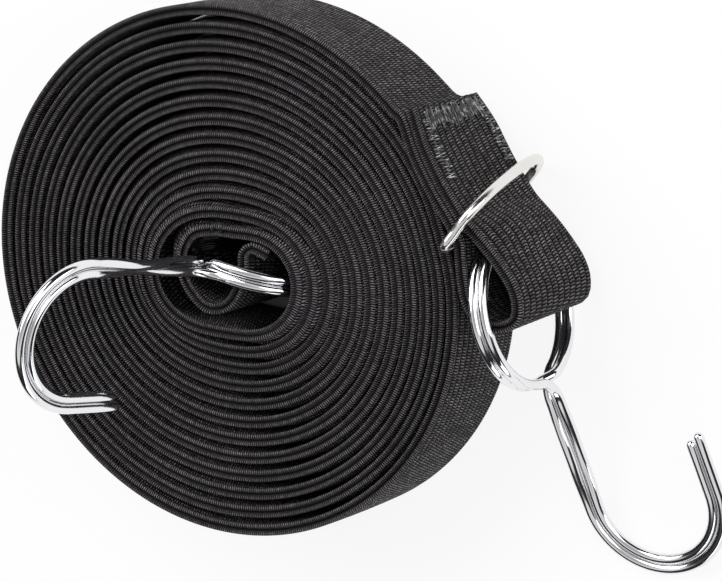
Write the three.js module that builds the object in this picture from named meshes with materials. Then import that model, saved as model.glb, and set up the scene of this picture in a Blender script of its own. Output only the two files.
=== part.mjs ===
// A flat elastic bungee strap, wound up and lying on its side, with a double-wire hook in each end.
// Millimetres, +Z up. The roll's axis is upright and its lower selvage lies at z = 0. The origin is
// under the middle of the whole object.
import * as THREE from "three";

const degrees = THREE.MathUtils.degToRad;

// Webbing
const webbingWidth = 38;
const webbingThickness = 3.3;
const layerGap = 0.35;
const nodeGap = 0.3;

// Roll: a spiral that runs clockwise from the hole outwards, seen from above
const rollTurns = 12.06;
const stepsPerTurn = 24;
const rollStartAngle = degrees(66);
const rollInnerRadius = 17;
const rollPitch = 4.8;
const holeOval = 3.7;
const holeOvalAngle = degrees(-10);
const rimOval = 3;
const rimOvalAngle = degrees(-55);
const holeShift = [0.9, 0.4];
const rimShift = [-1.8, 0.6];
const eyeBulge = 10;
const bulgeLevelShare = 0.55;
const liftedTurns = 3;
const leadLength = webbingThickness;

// Hook wire: bent double, with an eye of two turns, a twisted shank and an open bend
const wireDiameter = 3;
const wireGap = 0.1;
const eyeRadius = 21.3;
const throatRadius = 9;
const shankReach = 62;
const bendRadius = 19.7;
const innerTipLength = 16;
const outerTipLength = 17.5;
const tipStagger = 2;
const shankTwist = degrees(50);
const twistLength = 9;
const eyeCrossing = degrees(8);
const wireSides = 8;
const eyeSteps = 30;
const bendSteps = 14;
const throatSteps = 5;
const shankSteps = 12;
const arcSamples = 5;

// Rounded wire end, from the last section outwards: width and reach in shares of the diameter
const wireEndShares = [
  [0.82, 0.286],
  [0.4, 0.5],
];

// Where the eyes stand, seen from above, and how they turn
const standGap = 0.3;
const outerEyePlace = [83, -10.8];
const outerEyeTurn = degrees(8);
const outerEyeLean = degrees(7);
const innerEyePlace = [3.3, 2];
const innerEyeTurn = degrees(253);
const innerHookRise = degrees(69);

// Loop of webbing round the inner eye: places seen from above, in shares of the eye's radius from its
// middle, first towards the far side from the shank and then up against the eye's axis, and how far
// the middle of the width swells outwards
const innerLoopShares = [
  [0.07, 0.27, 0],
  [0.11, 0.1, 0],
  [0.1, -0.06, 0],
  [0.07, -0.3, 0],
  [-0.06, -0.5, 0],
  [-0.3, -0.58, 0],
  [-0.54, -0.46, 0.1],
  [-0.72, -0.26, 0.3],
  [-0.79, -0.06, 0.41],
  [-0.79, 0.12, 0.41],
  [-0.72, 0.3, 0.3],
  [-0.53, 0.42, 0.08],
  [-0.28, 0.5, 0],
];
const innerLoopSteps = 40;
const meetingShares = [3, 2, 1];
const lapStart = 3.5;
const lapLength = 7;
const cupLevelShares = [0, 0.25, 0.5, 0.75, 1];
const cupShares = [0, 0.8, 1, 0.8, 0];

// Tail: the two layers between the roll and the fold round the outer eye, in shares of the width:
// down the tail, outwards from its straight line, and how far the middle swells away from the eye
const tailTurn = degrees(-60.3);
const tailOutset = 2.6;
const tailShares = [
  [0.15, -0.01, 0],
  [0.32, 0, 0],
  [0.8, 0, 0],
  [1.04, 0, 0],
  [1.16, -0.016, 0.014],
  [1.3, -0.085, 0.04],
  [1.43, -0.15, 0.03],
  [1.55, -0.195, 0.01],
  [1.67, -0.195, 0],
  [1.79, -0.135, 0],
  [1.85, -0.03, 0],
  [1.85, 0.07, 0],
  [1.75, 0.15, 0],
  [1.62, 0.18, 0],
  [1.48, 0.175, 0.02],
  [1.32, 0.155, 0.065],
  [1.18, 0.128, 0.062],
  [1.05, 0.102, 0.015],
];
const tailReturnShares = [0.92, 0.5];
const tailEndShare = 0.15;
const tailLean = degrees(7);
const tailLeanShare = 0.5;
const tailLiftShare = 0.8;
const tailSteps = 76;

// Keeper ring: a D of wire round both layers, in shares of its depth and half its height
const keeperWire = 3;
const keeperHalfHeight = 21.2;
const keeperDepth = 21.5;
const keeperPlaceShare = 1.06;
const keeperSlack = 1.2;
const keeperTilt = degrees(18);
const keeperSlant = degrees(9);
const keeperSteps = 44;
const keeperShares = [
  [0, -0.78],
  [0, 0],
  [0, 0.78],
  [0.02, 0.94],
  [0.1, 1],
  [0.3, 1],
  [0.6, 1],
  [0.87, 0.68],
  [1, 0],
  [0.87, -0.68],
  [0.6, -1],
  [0.3, -1],
  [0.1, -1],
  [0.02, -0.94],
];

// Stitching
const threadDiameter = 0.7;
const threadSides = 5;
const threadGap = 0.3;
const seamLength = 22;
const seamInset = 4;
const seamWidth = 5;
const seamStitches = 24;
const seamLineSteps = 4;
const tackWidth = 2.4;
const tackStitches = 12;

const eyeLevel = eyeRadius + wireDiameter / 2 + standGap;
const wireSpacing = wireDiameter + wireGap;
const loopLift = eyeLevel - webbingWidth / 2;
const layerSpacing = webbingThickness + layerGap;
const up = new THREE.Vector3(0, 0, 1);

const flatDirection = (angle) => new THREE.Vector3(Math.cos(angle), Math.sin(angle), 0);
const flatPoint = (place) => new THREE.Vector3(place[0], place[1], 0);
const ease = (value, from, to) => THREE.MathUtils.smoothstep(value, from, to);

// A closed solid from rings of points that run anticlockwise, seen against the way of travel.
function loftRings(rings, closed = false) {
  const sides = rings[0].length;
  const positions = rings.flat().flatMap((point) => [point.x, point.y, point.z]);
  const index = [];
  const spans = closed ? rings.length : rings.length - 1;
  for (let ring = 0; ring < spans; ring++) {
    const next = (ring + 1) % rings.length;
    for (let side = 0; side < sides; side++) {
      const a = ring * sides + side;
      const b = ring * sides + ((side + 1) % sides);
      const c = next * sides + side;
      const d = next * sides + ((side + 1) % sides);
      index.push(a, b, d, a, d, c);
    }
  }
  if (!closed) {
    const last = (rings.length - 1) * sides;
    for (let side = 1; side < sides - 1; side++) {
      index.push(0, side + 1, side);
      index.push(last, last + side, last + side + 1);
    }
  }
  const geometry = new THREE.BufferGeometry();
  geometry.setAttribute("position", new THREE.Float32BufferAttribute(positions, 3));
  geometry.setIndex(index);
  geometry.computeVertexNormals();
  return geometry;
}

// A round wire along points, carried along without twist. Open ends are rounded.
function loftWire(points, diameter, sides, closed = false) {
  const count = points.length;
  const rings = [];
  let across = null;
  points.forEach((point, i) => {
    const before = points[closed ? (i + count - 1) % count : Math.max(i - 1, 0)];
    const after = points[closed ? (i + 1) % count : Math.min(i + 1, count - 1)];
    const along = after.clone().sub(before).normalize();
    if (!across) {
      const away = Math.abs(along.z) < Math.SQRT1_2 ? up : new THREE.Vector3(1, 0, 0);
      across = away.clone().cross(along).normalize();
    }
    across.addScaledVector(along, -across.dot(along)).normalize();
    const beside = along.clone().cross(across);
    const makeRing = (share, shift) =>
      Array.from({ length: sides }, (_, side) => {
        const angle = (2 * Math.PI * side) / sides;
        const reach = (share * diameter) / 2;
        return point
          .clone()
          .addScaledVector(along, shift)
          .addScaledVector(across, reach * Math.cos(angle))
          .addScaledVector(beside, reach * Math.sin(angle));
      });
    const first = i === 0 && !closed;
    const last = i === count - 1 && !closed;
    const ends = wireEndShares.map(([width, reach]) => [width, reach * diameter]);
    if (first) rings.push(...ends.map(([width, reach]) => makeRing(width, -reach)).reverse());
    rings.push(makeRing(1, 0));
    if (last) rings.push(...ends.map(([width, reach]) => makeRing(width, reach)));
  });
  return loftRings(rings, closed);
}

// One section of the webbing. A station has a place and normal seen from above, a lift, a lean along
// its own direction, and a bulge along the normal that follows the shares across the width.
function webbingRing(station, levelShares, bulgeShares) {
  const facePoint = (level, offset) => {
    const across = (levelShares[level] - 1 / 2) * webbingWidth;
    return station.place
      .clone()
      .addScaledVector(station.normal, offset + station.bulge * bulgeShares[level])
      .addScaledVector(station.leanWay, -across * Math.sin(station.lean))
      .setZ(webbingWidth / 2 + across * Math.cos(station.lean) + station.lift);
  };
  const half = webbingThickness / 2;
  const levels = levelShares.map((_, level) => level);
  const outer = levels.map((level) => facePoint(level, half));
  const inner = levels.map((level) => facePoint(level, -half)).reverse();
  return [...outer, ...inner];
}

// The normal on the left of the way of travel, which is outwards on the clockwise roll.
function leftNormal(before, after) {
  return new THREE.Vector3(before.y - after.y, after.x - before.x, 0).normalize();
}

// Roll
function rollPoint(turns) {
  const angle = rollStartAngle - 2 * Math.PI * turns;
  const share = turns / rollTurns;
  const hole = holeOval * (1 - share) * Math.cos(2 * (angle - holeOvalAngle));
  const rim = rimOval * share * Math.cos(2 * (angle - rimOvalAngle));
  const middle = flatPoint(holeShift).lerp(flatPoint(rimShift), share);
  const radius = rollInnerRadius + rollPitch * turns + hole + rim;
  return middle.addScaledVector(flatDirection(angle), radius);
}

function rollNormal(turns) {
  const small = 1 / (stepsPerTurn * stepsPerTurn);
  return leftNormal(rollPoint(turns - small), rollPoint(turns + small));
}

function rollStation(turns) {
  const normal = rollNormal(turns);
  const angle = rollStartAngle - 2 * Math.PI * turns;
  const facing = Math.sin(angle - innerEyeTurn) ** 2;
  return {
    place: rollPoint(turns),
    normal,
    leanWay: normal,
    lean: 0,
    lift: loopLift * (1 - ease(turns, 0, liftedTurns)),
    bulge: eyeBulge * (1 - turns / rollTurns) * facing,
  };
}

// A station moved along its own direction of travel, so that an end runs straight.
function straightOn(station, distance) {
  const travel = station.normal.clone().cross(up).normalize();
  return { ...station, place: station.place.clone().addScaledVector(travel, distance) };
}

const rollLevelShares = [0, bulgeLevelShare, 1];
const rollBulgeShares = [0, 1, 0];

function rollStations() {
  const count = Math.round(rollTurns * stepsPerTurn);
  const stations = Array.from({ length: count + 1 }, (_, i) => rollStation((rollTurns * i) / count));
  const start = straightOn(stations[0], -leadLength);
  const end = straightOn(stations[count], leadLength);
  return [start, ...stations, end];
}

// The least gap between the faces of one turn and the next, on points half a step apart.
function leastTurnGap() {
  const faceAt = (turns, side) =>
    rollPoint(turns).addScaledVector(rollNormal(turns), (side * webbingThickness) / 2);
  let least = Infinity;
  for (let turns = 0; turns <= rollTurns - 1; turns += 1 / (2 * stepsPerTurn)) {
    for (let shift = -2; shift <= 2; shift++) {
      const beyond = Math.min(turns + 1 + shift / (4 * stepsPerTurn), rollTurns);
      least = Math.min(least, faceAt(turns, 1).distanceTo(faceAt(beyond, -1)));
    }
  }
  return least;
}

// A closed or open curve through points, cut into even steps.
function evenPoints(points, steps, closed = false) {
  const curve = new THREE.CatmullRomCurve3(points, closed, "centripetal");
  curve.arcLengthDivisions = steps * arcSamples;
  const spaced = curve.getSpacedPoints(steps);
  return closed ? spaced.slice(0, -1) : spaced;
}

// Stations along a route whose third coordinate is the bulge.
function routeStations(guides, steps, dress) {
  const route = evenPoints(guides, steps);
  return route.map((point, i) => {
    const normal = leftNormal(route[Math.max(i - 1, 0)], route[Math.min(i + 1, steps)]);
    const station = { place: point.clone().setZ(0), normal, bulge: point.z };
    return { ...station, ...dress(station) };
  });
}

const loftWebbing = (stations, levelShares, bulgeShares) =>
  loftRings(stations.map((station) => webbingRing(station, levelShares, bulgeShares)));

// Loop round the inner eye. Its end laps the inside of the roll's first stretch.
const innerEye = flatPoint(innerEyePlace);
const innerAxis = flatDirection(innerEyeTurn);
const innerFarSide = up.clone().cross(innerAxis);

function lapPoint(distance) {
  const turns = distance / (2 * Math.PI * rollInnerRadius);
  return rollPoint(turns).addScaledVector(rollNormal(turns), -layerSpacing);
}

function innerLoopStations() {
  const lap = [lapLength, lapLength / 2, 0].map((distance) => lapPoint(lapStart + distance));
  const loop = innerLoopShares.map(([side, along, bulge]) =>
    innerEye
      .clone()
      .addScaledVector(innerFarSide, side * eyeRadius)
      .addScaledVector(innerAxis, -along * eyeRadius)
      .setZ(bulge * eyeRadius),
  );
  const start = rollStation(0);
  const meeting = meetingShares.map(
    (share) => straightOn(start, -share * leadLength - nodeGap).place,
  );
  const lean = { lean: 0, leanWay: innerAxis, lift: loopLift };
  return routeStations([...lap, ...loop, ...meeting], innerLoopSteps, () => lean);
}

// Tail, from the roll's end to the fold and back up over itself to the cut end
const tailWay = flatDirection(tailTurn);
const tailOut = up.clone().cross(tailWay);
const rollEnd = straightOn(rollStation(rollTurns), leadLength + nodeGap);
const tailStart = rollEnd.place.clone().addScaledVector(tailOut, tailOutset);

const tailPoint = (down, out) =>
  tailStart.clone().addScaledVector(tailWay, down).addScaledVector(tailOut, out);
const tailLift = (down) => loopLift * ease(down, 0, tailLiftShare * webbingWidth);

function tailDress(station) {
  const down = station.place.clone().sub(tailStart).dot(tailWay);
  const lean = tailLean * ease(down, 0, tailLeanShare * webbingWidth);
  return { lean, leanWay: tailOut, lift: tailLift(down) };
}

function tailStations() {
  const guides = tailShares.map(([down, out, bulge]) =>
    tailPoint(down * webbingWidth, out * webbingWidth).setZ(-bulge * webbingWidth),
  );
  const start = [rollEnd.place, straightOn(rollEnd, leadLength).place];
  const end = [...tailReturnShares, tailEndShare].map((down) =>
    tailPoint(down * webbingWidth, layerSpacing),
  );
  return routeStations([...start, ...guides, ...end], tailSteps, tailDress);
}

// Hook wire in the eye's frame: x along the shank, y across it, z along the eye's axis
function arcPoints(middle, radius, from, to, steps) {
  return Array.from({ length: steps + 1 }, (_, i) => {
    const angle = THREE.MathUtils.lerp(from, to, i / steps);
    return middle.clone().add(flatDirection(angle).multiplyScalar(radius));
  });
}

const throatMiddle = eyeRadius + throatRadius;
const throatAngle = Math.asin(throatRadius / throatMiddle);
const throatReach = throatMiddle * Math.cos(throatAngle);

// The open bend and the shank of one of the two wires, from the free tip to the throat.
function hookLeg(side, tipLength) {
  const offset = (side * wireSpacing) / 2;
  const radius = bendRadius - offset;
  const points = [new THREE.Vector3(shankReach - tipLength, 0, bendRadius + radius)];
  for (let step = 0; step <= bendSteps; step++) {
    const angle = (Math.PI * step) / bendSteps;
    const reach = shankReach + radius * Math.sin(angle);
    points.push(new THREE.Vector3(reach, 0, bendRadius + radius * Math.cos(angle)));
  }
  for (let step = 1; step < shankSteps; step++) {
    const reach = THREE.MathUtils.lerp(shankReach, throatReach, step / shankSteps);
    const nearEnd = Math.min(shankReach - reach, reach - throatReach);
    const twist = shankTwist * ease(nearEnd, 0, twistLength);
    points.push(new THREE.Vector3(reach, offset * Math.sin(twist), offset * Math.cos(twist)));
  }
  return points;
}

// The bend from the shank into the eye, on one side of the shank.
function throatPoints(side) {
  const middle = new THREE.Vector3(throatReach, side * throatRadius, (-side * wireSpacing) / 2);
  const quarter = Math.PI / 2;
  const points = arcPoints(middle, throatRadius, -quarter, throatAngle - Math.PI, throatSteps);
  return side > 0 ? points : points.map((point) => mirrorAcross(point, middle)).reverse();
}

function mirrorAcross(point, middle) {
  return new THREE.Vector3(point.x, 2 * middle.y - point.y, point.z);
}

function eyePoints() {
  const points = [];
  const from = throatAngle;
  const to = 4 * Math.PI - throatAngle;
  const steps = 2 * eyeSteps;
  for (let step = 1; step < steps; step++) {
    const angle = THREE.MathUtils.lerp(from, to, step / steps);
    const crossed = ease(angle, 2 * Math.PI - eyeCrossing, 2 * Math.PI + eyeCrossing);
    const point = flatDirection(angle).multiplyScalar(eyeRadius);
    points.push(point.setZ((crossed - 1 / 2) * wireSpacing));
  }
  return points;
}

function hookWire(tipLength) {
  const first = hookLeg(-1, tipLength);
  const second = hookLeg(1, tipLength - tipStagger).reverse();
  const points = [...first, ...throatPoints(1), ...eyePoints(), ...throatPoints(-1), ...second];
  return loftWire(points, wireDiameter, wireSides);
}

// Turns a mesh so that its x, y and z run along the shank, across it and along the eye's axis.
function placeHook(mesh, place, shank, axis) {
  const across = axis.clone().cross(shank);
  mesh.quaternion.setFromRotationMatrix(new THREE.Matrix4().makeBasis(shank, across, axis));
  mesh.position.copy(flatPoint(place)).setZ(eyeLevel);
}

// How far the outer shank droops before its bend meets the ground.
function outerDroop(axis) {
  const bendReach = bendRadius + wireSpacing / 2;
  const height = eyeLevel + bendRadius * axis.z - wireDiameter / 2 - standGap;
  const square = shankReach ** 2 - bendReach ** 2;
  const rest = height ** 2 - (bendReach * axis.z) ** 2;
  const root = Math.sqrt((height * shankReach) ** 2 - square * rest);
  return (height * shankReach - root) / square;
}

function outerHookDirections() {
  const flatAxis = flatDirection(outerEyeTurn);
  const axis = flatAxis.clone().multiplyScalar(Math.cos(outerEyeLean));
  axis.addScaledVector(up, Math.sin(outerEyeLean));
  const level = flatAxis.clone().cross(up);
  const rise = axis.clone().cross(level).negate();
  const droop = Math.asin(outerDroop(axis) / Math.abs(rise.z));
  const way = Math.sign(rise.z);
  const shank = level.multiplyScalar(Math.cos(droop)).addScaledVector(rise, -way * Math.sin(droop));
  return { shank, axis };
}

function innerHookDirections() {
  const shank = innerFarSide.clone().multiplyScalar(-Math.cos(innerHookRise));
  shank.addScaledVector(up, Math.sin(innerHookRise));
  return { shank, axis: innerAxis };
}

// Keeper ring
function keeperPoints() {
  const bar = up.clone().addScaledVector(tailWay, Math.tan(keeperSlant));
  bar.addScaledVector(tailOut, -Math.tan(tailLean));
  const bow = tailOut.clone().multiplyScalar(Math.cos(keeperTilt));
  bow.addScaledVector(tailWay, -Math.sin(keeperTilt));
  const behind = -(webbingThickness + keeperWire) / 2 - keeperSlack;
  const middle = tailPoint(keeperPlaceShare * webbingWidth, behind).setZ(eyeLevel);
  const guides = keeperShares.map(([depth, height]) =>
    middle
      .clone()
      .addScaledVector(bow, depth * keeperDepth)
      .addScaledVector(bar, height * keeperHalfHeight),
  );
  return evenPoints(guides, keeperSteps, true);
}

// Stitching: a zigzag across the cut end of the tail, with a line down each selvage
function outerSeamPoints() {
  const out = layerSpacing + (webbingThickness + threadDiameter) / 2 + threadGap;
  const end = tailEndShare * webbingWidth;
  const onFace = (down, height) => {
    const lean = tailLean * ease(down, 0, tailLeanShare * webbingWidth);
    const across = height - webbingWidth / 2;
    const point = tailPoint(down, out / Math.cos(lean) - across * Math.sin(lean));
    return point.setZ(webbingWidth / 2 + across * Math.cos(lean) + tailLift(down));
  };
  const near = webbingWidth - seamInset;
  const points = [];
  for (let step = 0; step <= seamLineSteps; step++) {
    const share = step / seamLineSteps;
    points.push(onFace(THREE.MathUtils.lerp(end + seamLength, end + seamInset, share), near));
  }
  for (let stitch = 0; stitch <= seamStitches; stitch++) {
    const height = THREE.MathUtils.lerp(near, seamInset, stitch / seamStitches);
    points.push(onFace(end + seamInset / 2 + (stitch % 2) * seamWidth, height));
  }
  for (let step = 0; step <= seamLineSteps; step++) {
    const share = step / seamLineSteps;
    points.push(onFace(THREE.MathUtils.lerp(end + seamInset, end + seamLength, share), seamInset));
  }
  return points;
}

// A zigzag tack up the inside of the lap
function innerSeamPoints() {
  const points = [];
  for (let stitch = 0; stitch <= tackStitches; stitch++) {
    const distance = lapStart + lapLength / 2 + ((stitch % 2) - 1 / 2) * tackWidth;
    const turns = distance / (2 * Math.PI * rollInnerRadius);
    const inside = (webbingThickness + threadDiameter) / 2 + threadGap;
    const height = THREE.MathUtils.lerp(seamInset, webbingWidth - seamInset / 2, stitch / tackStitches);
    const point = lapPoint(distance).addScaledVector(rollNormal(turns), -inside);
    points.push(point.setZ(height + loopLift));
  }
  return points;
}

const webbing = new THREE.MeshStandardMaterial({ color: 0x1c1a1d, roughness: 0.9, metalness: 0 });
const thread = new THREE.MeshStandardMaterial({ color: 0x2b292c, roughness: 0.5, metalness: 0 });
const chrome = new THREE.MeshStandardMaterial({ color: 0xd8dadd, roughness: 0.08, metalness: 1 });
const nickel = new THREE.MeshStandardMaterial({ color: 0xcfcdc8, roughness: 0.25, metalness: 1 });

const group = new THREE.Group();
function addPart(name, geometry, material) {
  const mesh = new THREE.Mesh(geometry, material);
  mesh.name = name;
  group.add(mesh);
  return mesh;
}

const roll = loftWebbing(rollStations(), rollLevelShares, rollBulgeShares);
addPart("webbing_roll", roll, webbing);
const innerLoop = loftWebbing(innerLoopStations(), cupLevelShares, cupShares);
addPart("webbing_inner_loop", innerLoop, webbing);
const tail = loftWebbing(tailStations(), cupLevelShares, cupShares);
addPart("webbing_tail", tail, webbing);
const outerHook = addPart("outer_hook", hookWire(outerTipLength), chrome);
const outerWay = outerHookDirections();
placeHook(outerHook, outerEyePlace, outerWay.shank, outerWay.axis);
const innerHook = addPart("inner_hook", hookWire(innerTipLength), chrome);
const innerWay = innerHookDirections();
placeHook(innerHook, innerEyePlace, innerWay.shank, innerWay.axis);
addPart("keeper_ring", loftWire(keeperPoints(), keeperWire, wireSides, true), nickel);
addPart("outer_stitching", loftWire(outerSeamPoints(), threadDiameter, threadSides), thread);
addPart("inner_stitching", loftWire(innerSeamPoints(), threadDiameter, threadSides), thread);

const bounds = new THREE.Box3().setFromObject(group, true);
const middle = bounds.getCenter(new THREE.Vector3());
group.position.set(-middle.x, -middle.y, -bounds.min.z);

console.log("least gap between turns", leastTurnGap().toFixed(2), "mm");
export default group;
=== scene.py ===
import math

import bpy
import numpy as np
from mathutils import Matrix


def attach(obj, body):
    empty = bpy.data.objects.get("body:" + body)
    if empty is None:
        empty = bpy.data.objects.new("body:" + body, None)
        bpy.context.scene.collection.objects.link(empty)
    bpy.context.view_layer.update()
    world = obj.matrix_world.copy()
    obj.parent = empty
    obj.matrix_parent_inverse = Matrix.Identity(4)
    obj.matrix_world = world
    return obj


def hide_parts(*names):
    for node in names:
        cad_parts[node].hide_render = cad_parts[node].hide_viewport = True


# A flat elastic bungee strap, wound up and lying on its side, with a double-wire hook in each end
# and a wire keeper ring round the outer end. Lengths are in millimetres until a mesh is made. Places
# seen from above are measured from near the roll's middle, and ROW_SHIFT takes them to the frame.
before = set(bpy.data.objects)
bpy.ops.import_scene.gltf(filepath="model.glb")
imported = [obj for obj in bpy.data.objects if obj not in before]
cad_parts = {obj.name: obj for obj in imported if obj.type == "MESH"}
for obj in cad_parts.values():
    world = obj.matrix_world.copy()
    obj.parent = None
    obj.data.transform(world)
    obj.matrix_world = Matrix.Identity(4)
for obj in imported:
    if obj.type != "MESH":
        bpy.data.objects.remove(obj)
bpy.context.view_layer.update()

MM = 0.001
ROW_SHIFT = np.array([-29.7544, 5.4672])
UV_LAYER = "strip"

# Camera, solved from the two rims of the roll
CAMERA_PLACE = (560.746, 145.607, 1073.87)
CAMERA_RIGHT = (0.88527, -0.06391, -0.46067)
CAMERA_UP = (0.0, 0.99051, -0.13741)
CAMERA_BACK = (0.46508, 0.12164, 0.87687)
CAMERA_SENSOR = 36.0
CAMERA_LENS = 212.39
CAMERA_NEAR = 10.0
CAMERA_FAR = 20000.0

# Webbing, with a two-bead selvage along each edge
WIDTH = 38.0
THICKNESS = 3.3
LAYER_SPACING = 3.65
NODE_GAP = 0.3
STATION_STEP = 1.8
RIBS = 13
RIB_DEPTH = 0.7
RIB_SHARPNESS = 0.55
RIB_SAMPLES = 5
EDGE_RADIUS = 0.74
EDGE_GROOVE = 1.3
EDGE_ANGLES = (205, 175, 145, 118, 95)
EDGE_RIB_SHARES = (0.12, 0.5)
BULGE_LEVEL_SHARE = 0.52
CURVE_SAMPLES = 60

# Roll: a spiral that runs clockwise from the hole outwards, seen from above
ROLL_TURNS = 12.06
ROLL_START = math.radians(66)
ROLL_RADIUS = 17.0
ROLL_PITCH = 4.8
ROLL_SAMPLES = 6000
HOLE_OVAL = 3.7
HOLE_OVAL_ANGLE = math.radians(-10)
RIM_OVAL = 3.0
RIM_OVAL_ANGLE = math.radians(-55)
HOLE_SHIFT = np.array([0.9, 0.4])
RIM_SHIFT = np.array([-1.8, 0.6])
EYE_BULGE = 10.0
LIFTED_TURNS = 3.0
LEAD = THICKNESS
SMALL_TURN = 0.001

# Hook wire
WIRE = 3.0
WIRE_GAP = 0.1
EYE_RADIUS = 21.3
THROAT_RADIUS = 9.0
SHANK_REACH = 62.0
BEND_RADIUS = 19.7
INNER_TIP = 16.0
OUTER_TIP = 17.5
TIP_SHARES = (1, 0.66, 0.33)
TIP_STAGGER = 2.0
SHANK_TWIST = math.radians(50)
TWIST_LENGTH = 16.0
EYE_CROSSING = math.radians(8)
BEND_STEPS = 48
SHANK_STEPS = 40
THROAT_STEPS = 14
EYE_STEPS = 150
WIRE_SIDES = 20
CAP_ANGLES = np.radians([80, 60, 40, 20])
UPRIGHT_SHARE = 0.7

# Where the eyes stand, seen from above, and how the hooks point
EYE_LEVEL = 23.1
OUTER_EYE = np.array([83.0, -10.8])
OUTER_AXIS = np.array([0.98289, 0.13814, 0.12187])
OUTER_SHANK = np.array([0.16742, -0.94583, -0.27818])
INNER_EYE = np.array([3.3, 2.0])
INNER_TURN = math.radians(253)
INNER_RISE = math.radians(69)

# Loop of webbing round the inner eye, in shares of the eye's radius: to the far side from the
# shank, back along the eye's axis, and how far the middle of the width swells outwards
INNER_LOOP_SHARES = (
    (0.07, 0.27, 0),
    (0.11, 0.1, 0),
    (0.1, -0.06, 0),
    (0.07, -0.3, 0),
    (-0.06, -0.5, 0),
    (-0.3, -0.58, 0),
    (-0.54, -0.46, 0.1),
    (-0.72, -0.26, 0.3),
    (-0.79, -0.06, 0.41),
    (-0.79, 0.12, 0.41),
    (-0.72, 0.3, 0.3),
    (-0.53, 0.42, 0.08),
    (-0.28, 0.5, 0),
)
LAP_START = 3.5
LAP_LENGTH = 7.0
LAP_SHARES = (1, 0.5, 0)
MEETING_SHARES = (3, 2, 1)

# Tail, in shares of the width: down the tail, outwards, and how far the middle swells
TAIL_TURN = math.radians(-60.3)
TAIL_OUTSET = 2.6
TAIL_SHARES = (
    (0.15, -0.01, 0),
    (0.32, 0, 0),
    (0.8, 0, 0),
    (1.04, 0, 0),
    (1.16, -0.016, 0.014),
    (1.3, -0.085, 0.04),
    (1.43, -0.15, 0.03),
    (1.55, -0.195, 0.01),
    (1.67, -0.195, 0),
    (1.79, -0.135, 0),
    (1.85, -0.03, 0),
    (1.85, 0.07, 0),
    (1.75, 0.15, 0),
    (1.62, 0.18, 0),
    (1.48, 0.175, 0.02),
    (1.32, 0.155, 0.065),
    (1.18, 0.128, 0.062),
    (1.05, 0.102, 0.015),
)
TAIL_RETURN_SHARES = (0.92, 0.5)
TAIL_END_SHARE = 0.15
TAIL_LEAN = math.radians(7)
TAIL_LEAN_SHARE = 0.5
TAIL_LIFT_SHARE = 0.8

# Keeper ring, its outline in shares of its depth and half its height. The roll's webbing gives a
# little where the ring's straight bar presses on it.
KEEPER_WIRE = 3.0
KEEPER_HALF_HEIGHT = 21.2
KEEPER_DEPTH = 21.5
KEEPER_PLACE_SHARE = 1.06
KEEPER_SLACK = 1.2
KEEPER_DENT = 0.5
KEEPER_DENT_REACH = 9.0
KEEPER_TILT = math.radians(18)
KEEPER_SLANT = math.radians(9)
KEEPER_SHARES = (
    (0, -0.78),
    (0, 0),
    (0, 0.78),
    (0.02, 0.94),
    (0.1, 1),
    (0.3, 1),
    (0.6, 1),
    (0.87, 0.68),
    (1, 0),
    (0.87, -0.68),
    (0.6, -1),
    (0.3, -1),
    (0.1, -1),
    (0.02, -0.94),
)
KEEPER_STEP = 0.7538

# Stitching
THREAD = 0.45
THREAD_SIDES = 8
THREAD_GAP = 0.12
SEAM_LENGTH = 22.0
SEAM_INSET = 4.0
SEAM_WIDTH = 5.0
SEAM_STITCHES = 46
SIDE_STITCHES = 34
SIDE_WIDTH = 3.4
STITCH_STRAY = 0.9
TACK_WIDTH = 2.4
TACK_STITCHES = 18

# Weave: rows of stitches along the webbing, two columns of them on each rib
STITCH_PITCH = 0.86
STITCH_SLANT = 0.42
STITCH_SHARPNESS = 2.2
STITCH_LEVEL = 1.05
COLUMN_POWER = 0.6
# How far the painted shade in the grooves between the ribs reaches.
GROOVE_SHADE_POWER = 1.5
RIB_ROW_SHIFT = 0.37
SELVAGE_RIBS = 0.5
SELVAGE_FINENESS = 1.3
SELVAGE_UNEVENNESS = 0.5
FACE_UNEVENNESS = 1.15
WOBBLE_SCALE = 900.0
WOBBLE = 0.35
SPARKLE_SCALE = 2600.0
SPARKLE_GAIN = 2.4
SPARKLE_OFFSET = -0.35
PATCH_SCALE = 40.0
PATCH_LEVEL = 0.45
FUZZ_SCALE = 1500.0
FUZZ = 0.3
WEAVE_DEPTH = 0.22
# The lighter webbing colour is painted sheen on the stitches' crests. The darker one is the webbing's black,
# and also the painted shade in the grooves.
WEB_DARK = (0.0032, 0.0027, 0.0034)
WEB_PAINTED_SHEEN = (0.37, 0.343, 0.36)
WEB_ROUGHNESS = 0.6
WEB_SPECULAR = 0.06
WEB_SHEEN = 0.02
WEB_SHEEN_ROUGHNESS = 0.4

# Thread: mostly dull grey, with painted highlights in bright stretches
THREAD_DARK = (0.2, 0.194, 0.2)
# The lighter thread colour is painted highlight.
THREAD_PAINTED_HIGHLIGHT = (0.85, 0.84, 0.85)
THREAD_GRAIN_SCALE = 3000.0
THREAD_GRAIN_DEPTH = 0.1
THREAD_SHINE_SCALE = 700.0
THREAD_SHINE_GAIN = 6.0
THREAD_SHINE_OFFSET = -2.9
THREAD_ROUGHNESS = 0.3
THREAD_SPECULAR = 0.7

# Plated wire
CHROME_COLOUR = (0.88, 0.88, 0.9)
CHROME_ROUGHNESS = 0.09
CHROME_STREAK = 0.08
NICKEL_COLOUR = (0.88, 0.86, 0.83)
NICKEL_ROUGHNESS = 0.22
NICKEL_STREAK = 0.14
MOTTLE_SCALE = 120.0
MOTTLE_DETAIL = 4.0
POLISH_SCALE = 400.0
RIPPLE_SCALE = 260.0
RIPPLE_DEPTH = 0.05
RIPPLE_STRENGTH = 0.5

PLAIN_DETAIL = 2.0
FINE_DETAIL = 3.0

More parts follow.
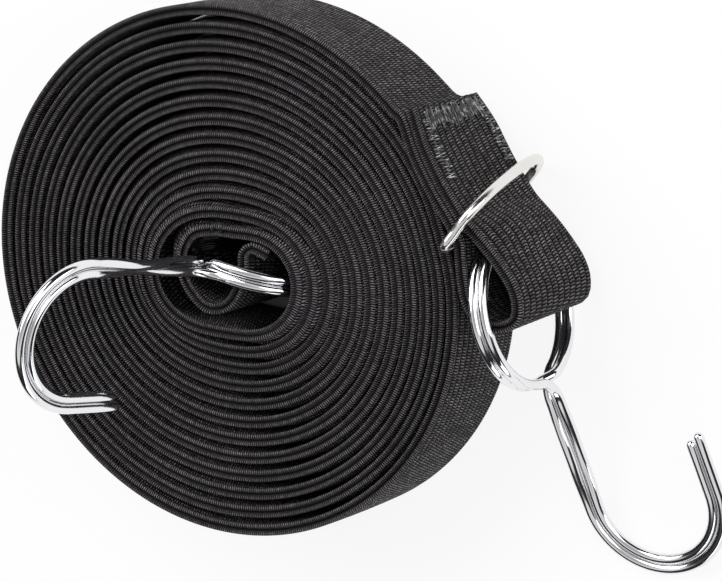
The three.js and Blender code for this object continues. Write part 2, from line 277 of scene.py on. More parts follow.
# Studio. The floor glows for the camera and in reflections, but not under the roll, where it would
# shine through the gaps between the turns. Lights have their place, aim and size in metres, and
# their power in watts.
FLOOR_HALF = 6000.0
FLOOR_WHITE = (0.9, 0.9, 0.9)
FLOOR_GLOW_SHARE = 0.87
SHADE_RADIUS = 73.0
SHADE_EDGE_SHARE = 0.985
SKY_STOPS = ((0.5, 0.02), (0.64, 0.07), (0.73, 0.85), (0.87, 0.7), (0.97, 0.4))
WHITE = (1.0, 1.0, 1.0)
COOL_WHITE = (0.92, 0.96, 1.0)
LIGHTS = (
    ("key", (-0.55, 0.75, 0.9), (0, 0, 0), (1.5, 0.9), 15, WHITE),
    ("fill", (0.9, 0.15, 0.6), (0, 0, 0), (0.7, 1.1), 5.5, WHITE),
    ("low", (0.35, -0.9, 0.25), (0, -0.05, 0.02), (0.9, 0.3), 1.6, COOL_WHITE),
)

LOOP_LIFT = EYE_LEVEL - WIDTH / 2


# Directions and routes
def ease(value, low, high):
    share = np.clip((np.asarray(value, float) - low) / (high - low), 0, 1)
    return share * share * (3 - 2 * share)


def flat_direction(angle):
    return np.stack([np.cos(angle), np.sin(angle)], axis=-1)


def unit(vectors):
    return vectors / np.linalg.norm(vectors, axis=-1, keepdims=True)


def left_of(travel):
    return unit(np.stack([-travel[..., 1], travel[..., 0]], axis=-1))


def right_of(normal):
    return np.stack([normal[..., 1], -normal[..., 0]], axis=-1)


def lengths_along(points):
    return np.concatenate([[0], np.cumsum(np.linalg.norm(np.diff(points, axis=0), axis=1))])


def span_points(first, second, third, fourth):
    """Centripetal curve from the second point to the third."""
    shares = np.linspace(0, 1, CURVE_SAMPLES, endpoint=False)[:, None]
    pairs = ((first, second), (second, third), (third, fourth))
    before, here, after = [np.linalg.norm(end - start) ** 0.5 for start, end in pairs]
    leave = (second - first) / before - (third - first) / (before + here) + (third - second) / here
    reach = (third - second) / here - (fourth - second) / (here + after) + (fourth - third) / after
    leave, reach = leave * here, reach * here
    square = -3 * second + 3 * third - 2 * leave - reach
    cube = 2 * second - 2 * third + leave + reach
    return second + leave * shares + square * shares**2 + cube * shares**3


def smooth_route(guides, spacing, closed=False):
    """Points evenly spaced on a smooth curve through the guides."""
    points = np.array(guides, float)
    if closed:
        padded = np.vstack([points[-1:], points, points[:2]])
    else:
        padded = np.vstack([2 * points[:1] - points[1:2], points, 2 * points[-1:] - points[-2:-1]])
    parts = [span_points(*padded[span : span + 4]) for span in range(len(padded) - 3)]
    dense = np.vstack(parts + [padded[-2:-1]])
    lengths = lengths_along(dense)
    steps = max(2, int(round(lengths[-1] / spacing)))
    wanted = np.linspace(0, lengths[-1], steps + 1)
    route = np.stack([np.interp(wanted, lengths, column) for column in dense.T], axis=1)
    return route[:-1] if closed else route


# Stations: where the strap's middle runs, which way its outer face looks, and how it swells and lifts
def stations(place, normal, bulge, lift, lean=None, lean_way=None):
    count = len(place)
    return {
        "place": place,
        "normal": normal,
        "bulge": np.broadcast_to(np.asarray(bulge, float), (count,)),
        "lift": np.broadcast_to(np.asarray(lift, float), (count,)),
        "lean": np.zeros(count) if lean is None else lean,
        "lean_way": normal if lean_way is None else np.broadcast_to(lean_way, (count, 2)),
    }


def chain(*parts):
    return {key: np.concatenate([part[key] for part in parts]) for key in parts[0]}


def route_normals(places):
    return left_of(np.gradient(places, axis=0))


# Roll
def roll_point(turns):
    turns = np.asarray(turns, float)
    angle = ROLL_START - 2 * math.pi * turns
    share = turns / ROLL_TURNS
    hole = HOLE_OVAL * (1 - share) * np.cos(2 * (angle - HOLE_OVAL_ANGLE))
    rim = RIM_OVAL * share * np.cos(2 * (angle - RIM_OVAL_ANGLE))
    middle = HOLE_SHIFT + (RIM_SHIFT - HOLE_SHIFT) * share[..., None]
    radius = ROLL_RADIUS + ROLL_PITCH * turns + hole + rim
    return middle + flat_direction(angle) * radius[..., None]


def roll_normal(turns):
    return left_of(roll_point(turns + SMALL_TURN) - roll_point(turns - SMALL_TURN))


def roll_stations():
    dense = np.linspace(0, ROLL_TURNS, ROLL_SAMPLES)
    lengths = lengths_along(roll_point(dense))
    turns = np.interp(np.arange(0, lengths[-1], STATION_STEP), lengths, dense)
    angle = ROLL_START - 2 * math.pi * turns
    facing = np.sin(angle - INNER_TURN) ** 2
    bulge = EYE_BULGE * (1 - turns / ROLL_TURNS) * facing
    lift = LOOP_LIFT * (1 - ease(turns, 0, LIFTED_TURNS))
    place, normal = roll_point(turns), roll_normal(turns)
    to_bar = np.linalg.norm(place - keeper_foot(), axis=1)
    dent = KEEPER_DENT * np.exp(-((to_bar / KEEPER_DENT_REACH) ** 2))
    return stations(place - normal * dent[:, None], normal, bulge, lift)


def straight_on(turns, distance):
    return roll_point(turns) + right_of(roll_normal(turns)) * distance


# Loop round the inner eye, from the lap to the roll
inner_axis = flat_direction(INNER_TURN)
inner_far_side = np.array([-inner_axis[1], inner_axis[0]])


def lap_turns(distance):
    return distance / (2 * math.pi * ROLL_RADIUS)


def lap_point(distance):
    turns = lap_turns(distance)
    return roll_point(turns) - roll_normal(turns) * LAYER_SPACING


def inner_loop_stations():
    guides = [(*lap_point(LAP_START + LAP_LENGTH * share), 0) for share in LAP_SHARES]
    for side, along, bulge in INNER_LOOP_SHARES:
        place = INNER_EYE + inner_far_side * side * EYE_RADIUS - inner_axis * along * EYE_RADIUS
        guides.append((*place, bulge * EYE_RADIUS))
    guides += [(*straight_on(0, -share * LEAD - NODE_GAP), 0) for share in MEETING_SHARES]
    route = smooth_route(guides, STATION_STEP)
    return stations(route[:, :2], route_normals(route[:, :2]), route[:, 2], LOOP_LIFT)


# Tail, from the roll's end to the fold and back up over itself
tail_way = flat_direction(TAIL_TURN)
tail_out = np.array([-tail_way[1], tail_way[0]])
roll_end = straight_on(ROLL_TURNS, LEAD + NODE_GAP)
tail_start = roll_end + tail_out * TAIL_OUTSET


def tail_point(down, out):
    return tail_start + tail_way * down + tail_out * out


def tail_lift(down):
    return LOOP_LIFT * ease(down, 0, TAIL_LIFT_SHARE * WIDTH)


def tail_lean(down):
    return TAIL_LEAN * ease(down, 0, TAIL_LEAN_SHARE * WIDTH)


def tail_stations():
    guides = [(*roll_end, 0), (*straight_on(ROLL_TURNS, 2 * LEAD + NODE_GAP), 0)]
    for down, out, bulge in TAIL_SHARES:
        guides.append((*tail_point(down * WIDTH, out * WIDTH), -bulge * WIDTH))
    for down in (*TAIL_RETURN_SHARES, TAIL_END_SHARE):
        guides.append((*tail_point(down * WIDTH, LAYER_SPACING), 0))
    route = smooth_route(guides, STATION_STEP)
    place = route[:, :2]
    down = (place - tail_start) @ tail_way
    return stations(place, route_normals(place), route[:, 2], tail_lift(down), tail_lean(down), tail_out)


# Keeper ring
def keeper_foot():
    """Where the ring's straight bar stands between the tail and the roll, seen from above."""
    behind = -(THICKNESS + KEEPER_WIRE) / 2 - KEEPER_SLACK
    return tail_point(KEEPER_PLACE_SHARE * WIDTH, behind)


def keeper_route():
    way, out = np.array([*tail_way, 0]), np.array([*tail_out, 0])
    bar = np.array([0, 0, 1.0]) + way * math.tan(KEEPER_SLANT) - out * math.tan(TAIL_LEAN)
    bow = out * math.cos(KEEPER_TILT) - way * math.sin(KEEPER_TILT)
    middle = np.array([*(keeper_foot() + ROW_SHIFT), EYE_LEVEL])
    guides = []
    for depth, height in KEEPER_SHARES:
        guides.append(middle + bow * depth * KEEPER_DEPTH + bar * height * KEEPER_HALF_HEIGHT)
    return smooth_route(guides, KEEPER_STEP, closed=True)


# Hook wire in the eye's frame: x along the shank, y across it, z along the eye's axis
throat_middle = EYE_RADIUS + THROAT_RADIUS
throat_angle = math.asin(THROAT_RADIUS / throat_middle)
throat_reach = throat_middle * math.cos(throat_angle)
wire_spacing = WIRE + WIRE_GAP


def hook_leg(side, tip):
    """One wire from its tip round the bend and down the twisted shank."""
    offset = side * wire_spacing / 2
    radius = BEND_RADIUS - offset
    points = [(SHANK_REACH - tip * share, 0, BEND_RADIUS + radius) for share in TIP_SHARES]
    for angle in np.linspace(0, math.pi, BEND_STEPS):
        points.append((SHANK_REACH + radius * math.sin(angle), 0, BEND_RADIUS + radius * math.cos(angle)))
    for reach in np.linspace(SHANK_REACH, throat_reach, SHANK_STEPS)[1:-1]:
        near = min(SHANK_REACH - reach, reach - throat_reach)
        twist = SHANK_TWIST * float(ease(near, 0, TWIST_LENGTH))
        points.append((reach, offset * math.sin(twist), offset * math.cos(twist)))
    return points


def throat_points(side):
    level = -side * wire_spacing / 2
    points = []
    for angle in np.linspace(-math.pi / 2, throat_angle - math.pi, THROAT_STEPS):
        across = side * (THROAT_RADIUS + THROAT_RADIUS * math.sin(angle))
        points.append((throat_reach + THROAT_RADIUS * math.cos(angle), across, level))
    return points if side > 0 else points[::-1]


def eye_points():
    """Two turns, crossing from one level to the other at the far side of the eye."""
    angles = np.linspace(throat_angle, 4 * math.pi - throat_angle, EYE_STEPS)[1:-1]
    crossed = ease(angles, 2 * math.pi - EYE_CROSSING, 2 * math.pi + EYE_CROSSING)
    level = (crossed - 0.5) * wire_spacing
    return list(zip(EYE_RADIUS * np.cos(angles), EYE_RADIUS * np.sin(angles), level))


def hook_route(tip, eye, shank, axis):
    local = hook_leg(-1, tip) + throat_points(1) + eye_points() + throat_points(-1)
    local += hook_leg(1, tip - TIP_STAGGER)[::-1]
    local = np.array(local)
    across = np.cross(axis, shank)
    middle = np.array([*(eye + ROW_SHIFT), EYE_LEVEL])
    return middle + local[:, :1] * shank + local[:, 1:2] * across + local[:, 2:] * axis


# Stitching
def outer_face_point(down, height):
    """A point just off the outer face of the tail's upper layer."""
    out = LAYER_SPACING + (THICKNESS + THREAD) / 2 + THREAD_GAP
    lean = float(tail_lean(down))
    across = height - WIDTH / 2
    place = tail_point(down, out / math.cos(lean) - across * math.sin(lean)) + ROW_SHIFT
    return (*place, WIDTH / 2 + across * math.cos(lean) + float(tail_lift(down)))


def stray(stitch):
    return STITCH_STRAY * math.sin(stitch * stitch)


def outer_seam_route():
    """Down the upper side of the patch, along the hem and back up the lower side, in zigzags."""
    end = TAIL_END_SHARE * WIDTH
    near = WIDTH - SEAM_INSET
    downs = np.linspace(end + SEAM_INSET, end + SEAM_LENGTH, SIDE_STITCHES + 1)
    sides = [(down, (stitch % 2 - 0.5) * SIDE_WIDTH + stray(stitch)) for stitch, down in enumerate(downs)]
    points = [outer_face_point(down, near + aside) for down, aside in sides[::-1]]
    for stitch, height in enumerate(np.linspace(near, SEAM_INSET, SEAM_STITCHES + 1)):
        down = end + SEAM_INSET / 2 + (stitch % 2) * SEAM_WIDTH + stray(stitch)
        points.append(outer_face_point(down, height))
    points += [outer_face_point(down, SEAM_INSET + aside) for down, aside in sides]
    return points


def inner_seam_route():
    points = []
    inside = (THICKNESS + THREAD) / 2 + THREAD_GAP
    heights = np.linspace(SEAM_INSET, WIDTH - SEAM_INSET / 2, TACK_STITCHES + 1)
    for stitch, height in enumerate(heights):
        distance = LAP_START + LAP_LENGTH / 2 + ((stitch % 2) - 0.5) * TACK_WIDTH
        place = lap_point(distance) - roll_normal(lap_turns(distance)) * inside + ROW_SHIFT
        points.append((*place, height + LOOP_LIFT))
    return points


# Meshes
def make_object(name, vertices, quads, uvs=None, extra_faces=(), smooth=True):
    mesh = bpy.data.meshes.new(name)
    faces = [tuple(map(int, face)) for face in (*quads, *extra_faces)]
    mesh.from_pydata([tuple(map(float, point)) for point in np.asarray(vertices) * MM], [], faces)
    if uvs is not None:
        layer = mesh.uv_layers.new(name=UV_LAYER)
        flat = np.zeros((len(mesh.loops), 2), np.float32)
        flat[: len(quads) * 4] = np.asarray(uvs, np.float32).reshape(-1, 2)
        layer.data.foreach_set("uv", flat.ravel())
    mesh.polygons.foreach_set("use_smooth", [smooth] * len(mesh.polygons))
    mesh.update()
    made = bpy.data.objects.new(name, mesh)
    bpy.context.scene.collection.objects.link(made)
    return made


def tube_quads(spans, rings, sides):
    ring, side = np.meshgrid(np.arange(spans), np.arange(sides), indexing="ij")
    after, beside = (ring + 1) % rings, (side + 1) % sides
    corners = [ring * sides + side, ring * sides + beside, after * sides + beside, after * sides + side]
    return np.stack(corners, axis=-1).reshape(-1, 4)


def tube_ends(rings, sides):
    last = (rings - 1) * sides
    return [tuple(range(sides))[::-1], tuple(last + side for side in range(sides))]


def outer_profile():
    """Across, offset and rib coordinate of the outer face, from the lower selvage to the upper."""
    half, edge = THICKNESS / 2, WIDTH / 2 - EDGE_RADIUS
    lower = []
    for angle in np.radians(EDGE_ANGLES):
        across = EDGE_RADIUS * math.cos(angle) - edge
        lower.append((across, half - EDGE_RADIUS + EDGE_RADIUS * math.sin(angle)))
    grooves = RIBS - 1
    count = grooves * RIB_SAMPLES
    level = np.linspace(-edge, edge, count + 1)[1:-1]
    phase = np.linspace(0, grooves, count + 1)[1:-1]
    dip = 1 - np.abs(np.cos(math.pi * phase)) ** RIB_SHARPNESS
    middle = list(zip(level, half - RIB_DEPTH * dip))
    upper = [(-across, offset) for across, offset in reversed(lower)]
    points = [(-WIDTH / 2 + EDGE_GROOVE, 0.0)] + lower + middle + upper
    ribs = [0.0] + list(np.linspace(*EDGE_RIB_SHARES, len(lower))) + list(phase + 0.5)
    ribs += [RIBS - rib for rib in reversed(ribs[1 : 1 + len(lower)])]
    return np.array(points), np.array(ribs)


def whole_section():
    """The section all round. Its rib coordinate runs up the outer face and back down the inner one."""
    points, ribs = outer_profile()
    top = np.array([[WIDTH / 2 - EDGE_GROOVE, 0.0]])
    ring = np.vstack([points, top, (points * [1, -1])[:0:-1]])
    rib_open = np.concatenate([ribs, [RIBS], 2 * RIBS - ribs[:0:-1], [2 * RIBS]])
    return ring[:, 0], ring[:, 1], rib_open


def swell_shares(across):
    level = across / WIDTH + 0.5
    centre = BULGE_LEVEL_SHARE
    apart = np.where(level < centre, (centre - level) / centre, (level - centre) / (1 - centre))
    return np.clip(1 - apart**2, 0, 1)


def strap_mesh(name, run):
    across, offset, rib_open = whole_section()
    lean = run["lean"][:, None]
    out = offset[None] + run["bulge"][:, None] * swell_shares(across)[None]
    place = run["place"][:, None] + run["normal"][:, None] * out[..., None]
    place = place - run["lean_way"][:, None] * (across[None] * np.sin(lean))[..., None]
    height = WIDTH / 2 + across[None] * np.cos(lean) + run["lift"][:, None]
    vertices = np.concatenate([place + ROW_SHIFT, height[..., None]], axis=2)
    count, sides = vertices.shape[:2]
    along = lengths_along(run["place"])
    ring, side = np.meshgrid(np.arange(count - 1), np.arange(sides), indexing="ij")
    corners = ((ring, side), (ring, side + 1), (ring + 1, side + 1), (ring + 1, side))
    uvs = np.stack([np.stack([along[row], rib_open[column]], -1) for row, column in corners], axis=2)
    quads = tube_quads(count - 1, count, sides)
    made = make_object(name, vertices.reshape(-1, 3), quads, uvs, tube_ends(count, sides))
    return made, float(along[-1])


def wire_rings(points, along, radius, sides, closed):
    """Circles across the wire, shrinking towards its ends unless it is closed."""
    across = np.cross([0, 0, 1] if abs(along[0, 2]) < UPRIGHT_SHARE else [1, 0, 0], along[0])
    arcs = np.linspace(0, 2 * math.pi, sides, endpoint=False)[:, None]
    caps = () if closed else CAP_ANGLES
    rings = []

    def add_ring(i, share, shift):
        beside = np.cross(along[i], across)
        circle = np.cos(arcs) * across + np.sin(arcs) * beside
        rings.append(points[i] + along[i] * shift + circle * share * radius)

    for i in range(len(points)):
        across = unit(across - along[i] * np.dot(along[i], across))
        if i == 0:
            for angle in caps:
                add_ring(i, math.cos(angle), -math.sin(angle) * radius)
        add_ring(i, 1, 0)
        if i == len(points) - 1:
            for angle in reversed(caps):
                add_ring(i, math.cos(angle), math.sin(angle) * radius)
    return rings


def wire_mesh(name, points, diameter, sides, closed=False):
    """A round wire along the points, with round ends unless it is closed."""
    points = np.asarray(points, float)
    if closed:
        along = unit(np.roll(points, -1, axis=0) - np.roll(points, 1, axis=0))
    else:
        along = unit(np.gradient(points, axis=0))
    rings = wire_rings(points, along, diameter / 2, sides, closed)
    total = len(rings)
    quads = tube_quads(total if closed else total - 1, total, sides)
    ends = [] if closed else tube_ends(total, sides)
    return make_object(name, np.vstack(rings), quads, None, ends)


# Nodes
def new_material(name):
    material = bpy.data.materials.new(name)
    material.use_nodes = True
    tree = material.node_tree
    tree.nodes.clear()
    output = tree.nodes.new("ShaderNodeOutputMaterial")
    shader = tree.nodes.new("ShaderNodeBsdfPrincipled")
    tree.links.new(shader.outputs["BSDF"], output.inputs["Surface"])
    return material, tree, shader


def maths(tree, operation, first, second=None, third=None, clamp=False):
    node = tree.nodes.new("ShaderNodeMath")
    node.operation = operation
    node.use_clamp = clamp
    for socket, value in zip(node.inputs, (first, second, third)):
        if isinstance(value, (int, float)):
            socket.default_value = value
        elif value is not None:
            tree.links.new(value, socket)
    return node.outputs[0]


def noise(tree, scale, detail=PLAIN_DETAIL):
    node = tree.nodes.new("ShaderNodeTexNoise")
    node.inputs["Scale"].default_value = scale
    node.inputs["Detail"].default_value = detail
    place = tree.nodes.new("ShaderNodeTexCoord").outputs["Object"]
    tree.links.new(place, node.inputs["Vector"])
    return node.outputs["Fac"]


def blend_colours(tree, factor, low, high):
    node = tree.nodes.new("ShaderNodeMix")
    node.data_type = "RGBA"
    tree.links.new(factor, node.inputs["Factor"])
    for socket, value in ((node.inputs[6], low), (node.inputs[7], high)):
        if isinstance(value, tuple):
            socket.default_value = (*value, 1)
        else:
            tree.links.new(value, socket)
    return node.outputs[2]


def add_bump(tree, shader, height, depth, strength=1.0):
    node = tree.nodes.new("ShaderNodeBump")
    node.inputs["Distance"].default_value = depth * MM
    node.inputs["Strength"].default_value = strength
    tree.links.new(height, node.inputs["Height"])
    tree.links.new(node.outputs["Normal"], shader.inputs["Normal"])


# Webbing material
def strip_coordinates(tree):
    """Millimetres along the strap and ribs across it."""
    uv = tree.nodes.new("ShaderNodeUVMap")
    uv.uv_map = UV_LAYER
    split = tree.nodes.new("ShaderNodeSeparateXYZ")
    tree.links.new(uv.outputs["UV"], split.inputs[0])
    return split.outputs["X"], split.outputs["Y"]


def stitch_rows(tree, along, rib, from_crest, selvage):
    """Rows counted along the strap. They slant away from each rib's crest and are finer on the edges."""
    fineness = maths(tree, "MULTIPLY_ADD", selvage, SELVAGE_FINENESS - 1, 1.0)
    rows = maths(tree, "MULTIPLY", maths(tree, "DIVIDE", along, STITCH_PITCH), fineness)
    rows = maths(tree, "ADD", rows, maths(tree, "MULTIPLY", from_crest, 2 * STITCH_SLANT))
    rows = maths(tree, "ADD", rows, maths(tree, "MULTIPLY", noise(tree, WOBBLE_SCALE), WOBBLE))
    return maths(tree, "ADD", rows, maths(tree, "MULTIPLY", maths(tree, "FLOOR", rib), RIB_ROW_SHIFT))


def stitch_relief(tree, rows, within):
    wave = maths(tree, "SINE", maths(tree, "MULTIPLY", rows, 2 * math.pi))
    bead = maths(tree, "POWER", maths(tree, "MULTIPLY_ADD", wave, 0.5, 0.5), STITCH_SHARPNESS)
    column = maths(tree, "ABSOLUTE", maths(tree, "SINE", maths(tree, "MULTIPLY", within, 2 * math.pi)))
    return maths(tree, "MULTIPLY", bead, maths(tree, "POWER", column, COLUMN_POWER))


def single_stitch_tone(tree, rows, rib, selvage):
    """A strength of its own for each stitch's painted sheen, more even on the edges."""
    cell = tree.nodes.new("ShaderNodeCombineXYZ")
    tree.links.new(maths(tree, "FLOOR", rows), cell.inputs["X"])
    tree.links.new(maths(tree, "FLOOR", maths(tree, "MULTIPLY", rib, 2.0)), cell.inputs["Y"])
    single = tree.nodes.new("ShaderNodeTexWhiteNoise")
    single.noise_dimensions = "2D"
    tree.links.new(cell.outputs[0], single.inputs["Vector"])
    centred = maths(tree, "SUBTRACT", single.outputs["Value"], 0.5)
    uneven = maths(tree, "MULTIPLY_ADD", selvage, SELVAGE_UNEVENNESS - FACE_UNEVENNESS, FACE_UNEVENNESS)
    return maths(tree, "MULTIPLY_ADD", centred, uneven, STITCH_LEVEL)


def painted_weave_sheen(tree, stitch, from_crest, single):
    """Painted sheen on the stitches, fading to painted shade in the grooves, with a fine grain and patches.
    """
    # Painted shade: the stitches darken towards the grooves between the ribs.
    groove_shade = maths(tree, "POWER", maths(tree, "MULTIPLY", from_crest, 2.0), GROOVE_SHADE_POWER)
    raised = maths(tree, "MULTIPLY", stitch, maths(tree, "SUBTRACT", 1.0, groove_shade))
    grain = noise(tree, SPARKLE_SCALE, FINE_DETAIL)
    sparkle = maths(tree, "MULTIPLY_ADD", grain, SPARKLE_GAIN, SPARKLE_OFFSET)
    light = maths(tree, "MULTIPLY", raised, sparkle, clamp=True)
    light = maths(tree, "MULTIPLY", light, single, clamp=True)
    patch = maths(tree, "ADD", noise(tree, PATCH_SCALE, FINE_DETAIL), PATCH_LEVEL)
    return maths(tree, "MULTIPLY", light, patch, clamp=True)


def webbing_material():
    material, tree, shader = new_material("woven_webbing")
    along, rib = strip_coordinates(tree)
    within = maths(tree, "FRACT", rib)
    from_crest = maths(tree, "ABSOLUTE", maths(tree, "SUBTRACT", within, 0.5))
    selvage = maths(tree, "LESS_THAN", maths(tree, "PINGPONG", rib, RIBS / 2), SELVAGE_RIBS)
    rows = stitch_rows(tree, along, rib, from_crest, selvage)
    stitch = stitch_relief(tree, rows, within)
    light = painted_weave_sheen(tree, stitch, from_crest, single_stitch_tone(tree, rows, rib, selvage))
    # Base colour: dark webbing with painted sheen on the stitches and painted shade in the grooves.
    tree.links.new(blend_colours(tree, light, WEB_DARK, WEB_PAINTED_SHEEN), shader.inputs["Base Color"])
    shader.inputs["Roughness"].default_value = WEB_ROUGHNESS
    shader.inputs["Specular IOR Level"].default_value = WEB_SPECULAR
    shader.inputs["Sheen Weight"].default_value = WEB_SHEEN
    shader.inputs["Sheen Roughness"].default_value = WEB_SHEEN_ROUGHNESS
    height = maths(tree, "ADD", stitch, maths(tree, "MULTIPLY", noise(tree, FUZZ_SCALE), FUZZ))
    add_bump(tree, shader, height, WEAVE_DEPTH)
    return material


# Metal and thread
def metal_material(name, colour, roughness, streak):
    material, tree, shader = new_material(name)
    mottle = noise(tree, MOTTLE_SCALE, MOTTLE_DETAIL)
    dim = tuple(channel * (1 - streak) for channel in colour)
    tree.links.new(blend_colours(tree, mottle, dim, colour), shader.inputs["Base Color"])
    shader.inputs["Metallic"].default_value = 1.0
    polish = noise(tree, POLISH_SCALE, FINE_DETAIL)
    tree.links.new(maths(tree, "MULTIPLY_ADD", polish, roughness, roughness / 2), shader.inputs["Roughness"])
    add_bump(tree, shader, noise(tree, RIPPLE_SCALE), RIPPLE_DEPTH, RIPPLE_STRENGTH)
    return material


def thread_material():
    material, tree, shader = new_material("shiny_thread")
    # Painted highlights: noise picks the thread's bright stretches.
    painted_highlight = noise(tree, THREAD_SHINE_SCALE)
    painted_highlight = maths(tree, "MULTIPLY_ADD", painted_highlight, THREAD_SHINE_GAIN, THREAD_SHINE_OFFSET, clamp=True)
    tree.links.new(blend_colours(tree, painted_highlight, THREAD_DARK, THREAD_PAINTED_HIGHLIGHT), shader.inputs["Base Color"])
    shader.inputs["Roughness"].default_value = THREAD_ROUGHNESS
    shader.inputs["Specular IOR Level"].default_value = THREAD_SPECULAR
    add_bump(tree, shader, noise(tree, THREAD_GRAIN_SCALE), THREAD_GRAIN_DEPTH)
    return material


# Camera
def make_camera():
    data = bpy.data.cameras.new("camera")
    data.sensor_width = CAMERA_SENSOR
    data.lens = CAMERA_LENS
    data.clip_start = CAMERA_NEAR * MM
    data.clip_end = CAMERA_FAR * MM
    made = bpy.data.objects.new("camera", data)
    bpy.context.scene.collection.objects.link(made)
    turn = Matrix((CAMERA_RIGHT, CAMERA_UP, CAMERA_BACK)).transposed().to_4x4()
    turn.translation = [value * MM for value in CAMERA_PLACE]
    made.matrix_world = turn
    bpy.context.scene.camera = made


# Studio
def background_rays(tree):
    path = tree.nodes.new("ShaderNodeLightPath")
    seen = maths(tree, "MAXIMUM", path.outputs["Is Camera Ray"], path.outputs["Is Glossy Ray"])
    return maths(tree, "MAXIMUM", seen, path.outputs["Is Transmission Ray"])


def outside_roll(tree):
    """Nothing under the roll, rising to one close to its oval rim."""
    oval = tree.nodes.new("ShaderNodeMapping")
    oval.vector_type = "TEXTURE"
    oval.inputs["Location"].default_value = (*((RIM_SHIFT + ROW_SHIFT) * MM), 0)
    oval.inputs["Rotation"].default_value = (0, 0, RIM_OVAL_ANGLE)
    wide, narrow = (SHADE_RADIUS + RIM_OVAL) * MM, (SHADE_RADIUS - RIM_OVAL) * MM
    oval.inputs["Scale"].default_value = (wide, narrow, 1)
    tree.links.new(tree.nodes.new("ShaderNodeTexCoord").outputs["Object"], oval.inputs["Vector"])
    apart = tree.nodes.new("ShaderNodeVectorMath")
    apart.operation = "LENGTH"
    tree.links.new(oval.outputs["Vector"], apart.inputs[0])
    rise = tree.nodes.new("ShaderNodeMapRange")
    rise.interpolation_type = "SMOOTHSTEP"
    rise.inputs["From Min"].default_value = SHADE_EDGE_SHARE
    tree.links.new(apart.outputs["Value"], rise.inputs["Value"])
    return rise.outputs["Result"]


def floor_material():
    material = bpy.data.materials.new("floor_white")
    material.use_nodes = True
    tree = material.node_tree
    tree.nodes.clear()
    output = tree.nodes.new("ShaderNodeOutputMaterial")
    plain = tree.nodes.new("ShaderNodeBsdfDiffuse")
    plain.inputs["Color"].default_value = (*FLOOR_WHITE, 1)
    glow = tree.nodes.new("ShaderNodeEmission")
    glow.inputs["Strength"].default_value = 1.0
    mix = tree.nodes.new("ShaderNodeMixShader")
    glowing = maths(tree, "MULTIPLY", background_rays(tree), FLOOR_GLOW_SHARE)
    tree.links.new(maths(tree, "MULTIPLY", glowing, outside_roll(tree)), mix.inputs[0])
    tree.links.new(plain.outputs[0], mix.inputs[1])
    tree.links.new(glow.outputs[0], mix.inputs[2])
    tree.links.new(mix.outputs[0], output.inputs["Surface"])
    return material


def make_floor():
    corners = np.array([(-1, -1, 0), (1, -1, 0), (1, 1, 0), (-1, 1, 0)]) * FLOOR_HALF
    floor = make_object("floor", corners, [(0, 1, 2, 3)], smooth=False)
    floor.data.materials.append(floor_material())


def sky_colour(tree):
    """Grey that depends on the height in the sky, from the horizon to overhead."""
    split = tree.nodes.new("ShaderNodeSeparateXYZ")
    tree.links.new(tree.nodes.new("ShaderNodeTexCoord").outputs["Generated"], split.inputs[0])
    ramp = tree.nodes.new("ShaderNodeValToRGB")
    tree.links.new(split.outputs["Z"], ramp.inputs[0])
    stops = ramp.color_ramp.elements
    while len(stops) < len(SKY_STOPS):
        stops.new(1.0)
    for stop, (height, tone) in zip(stops, SKY_STOPS):
        stop.position = height
        stop.color = (tone, tone, tone, 1)
    return ramp.outputs["Color"]


def make_world():
    world = bpy.data.worlds.new("studio")
    bpy.context.scene.world = world
    world.use_nodes = True
    tree = world.node_tree
    tree.nodes.clear()
    output = tree.nodes.new("ShaderNodeOutputWorld")
    background = tree.nodes.new("ShaderNodeBackground")
    path = tree.nodes.new("ShaderNodeLightPath")
    colour = blend_colours(tree, path.outputs["Is Camera Ray"], sky_colour(tree), WHITE)
    tree.links.new(colour, background.inputs["Color"])
    background.inputs["Strength"].default_value = 1.0
    tree.links.new(background.outputs[0], output.inputs["Surface"])


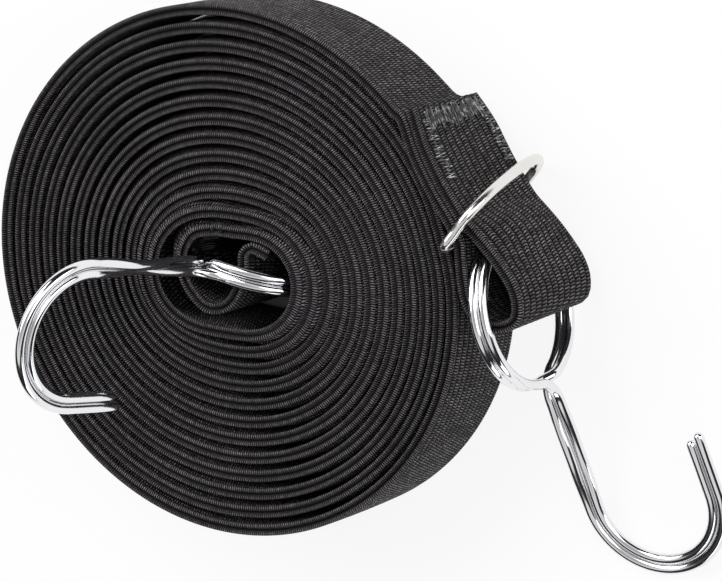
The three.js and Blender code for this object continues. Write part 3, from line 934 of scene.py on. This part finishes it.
def add_area(name, place, aim, size, power, colour):
    data = bpy.data.lights.new(name, "AREA")
    data.shape = "RECTANGLE"
    data.size, data.size_y = size
    data.energy = power
    data.color = colour
    made = bpy.data.objects.new(name, data)
    bpy.context.scene.collection.objects.link(made)
    back = unit(np.array(place, float) - np.array(aim, float))
    side = unit(np.cross([0, 0, 1], back))
    turn = Matrix((side, np.cross(back, side), back)).transposed().to_4x4()
    turn.translation = place
    made.matrix_world = turn


# Pieces
def dress(piece, body, nodes, material):
    piece.data.materials.append(material)
    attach(piece, body)
    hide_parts(*nodes)


def make_strap():
    run = chain(inner_loop_stations(), roll_stations(), tail_stations())
    strap, length = strap_mesh("strap", run)
    nodes = ["webbing_roll", "webbing_inner_loop", "webbing_tail"]
    dress(strap, "strap", nodes, webbing_material())


def make_hooks():
    chrome = metal_material("bright_chrome", CHROME_COLOUR, CHROME_ROUGHNESS, CHROME_STREAK)
    outer_route = hook_route(OUTER_TIP, OUTER_EYE, OUTER_SHANK, OUTER_AXIS)
    outer = wire_mesh("outer_wire_hook", outer_route, WIRE, WIRE_SIDES)
    dress(outer, "outer_hook", ["outer_hook"], chrome)
    inner_shank = np.array([*(-inner_far_side * math.cos(INNER_RISE)), math.sin(INNER_RISE)])
    inner_route = hook_route(INNER_TIP, INNER_EYE, inner_shank, np.array([*inner_axis, 0]))
    inner = wire_mesh("inner_wire_hook", inner_route, WIRE, WIRE_SIDES)
    dress(inner, "inner_hook", ["inner_hook"], chrome)


def make_keeper():
    nickel = metal_material("bright_nickel", NICKEL_COLOUR, NICKEL_ROUGHNESS, NICKEL_STREAK)
    ring = wire_mesh("wire_keeper", keeper_route(), KEEPER_WIRE, WIRE_SIDES, closed=True)
    dress(ring, "keeper", ["keeper_ring"], nickel)


def make_seams():
    thread = thread_material()
    outer = wire_mesh("outer_seam", outer_seam_route(), THREAD, THREAD_SIDES)
    dress(outer, "strap", ["outer_stitching"], thread)
    inner = wire_mesh("inner_seam", inner_seam_route(), THREAD, THREAD_SIDES)
    dress(inner, "strap", ["inner_stitching"], thread)


make_camera()
make_strap()
make_hooks()
make_keeper()
make_seams()
make_floor()
make_world()
for light in LIGHTS:
    add_area(*light)
bpy.context.scene.view_settings.view_transform = "Standard"
